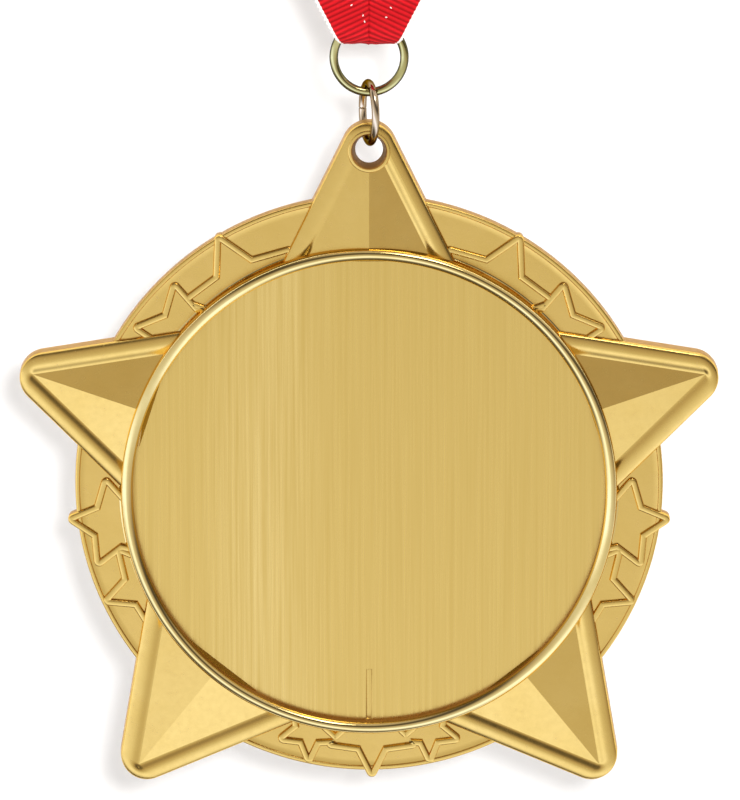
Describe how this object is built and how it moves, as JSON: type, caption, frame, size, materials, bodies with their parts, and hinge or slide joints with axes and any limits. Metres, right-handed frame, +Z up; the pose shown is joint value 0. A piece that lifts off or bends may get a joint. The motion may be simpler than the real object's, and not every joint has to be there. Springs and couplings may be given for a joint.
{
  "type": "star medal with neck ribbon",
  "caption": "Gold star award medal with an empty round insert recess, hung by a jump ring and a ribbon ring from a folded red neck ribbon.",
  "frame": {"origin": "middle of the folded ribbon's top edge, in the plane of the sewn V, where the medal is held up", "axes": "+Z up along the hanging medal, -Y out of its face, +X to the right seen from the front"},
  "size_m": [0.0762, 0.0108, 0.1315],
  "materials": {
    "gold_casting": "bright gold plate, satin in the recess",
    "pale_brass": "bright pale brass plate",
    "ring_brass": "bright greenish brass plate",
    "red_ribbon": "ribbed red woven ribbon with white edges",
    "white_band": "white woven band",
    "thread": "sewing thread"
  },
  "bodies": {
    "ribbon": {"ribbon_v": "red_ribbon", "ribbon_hank": "red_ribbon", "hank_band": "white_band", "tack_thread": "thread", "seam_thread": "thread"},
    "ring": {"ribbon_ring": "ring_brass"},
    "link": {"jump_ring": "pale_brass"},
    "medal": {"star_casting": "gold_casting"}
  },
  "joints": [
    {"name": "ring_swing", "type": "hinge", "parent": "ribbon", "child": "ring", "pos_m": [0, 0, -0.04719], "axis": [1, 0, 0], "range_deg": [-30, 30]},
    {"name": "link_swing", "type": "hinge", "parent": "ring", "child": "link", "pos_m": [0, 0, -0.05426], "axis": [1, 0, 0], "range_deg": [-60, 60]},
    {"name": "medal_sway", "type": "hinge", "parent": "link", "child": "medal", "pos_m": [0, 0, -0.05971], "axis": [0, 1, 0], "range_deg": [-40, 40]}
  ]
}
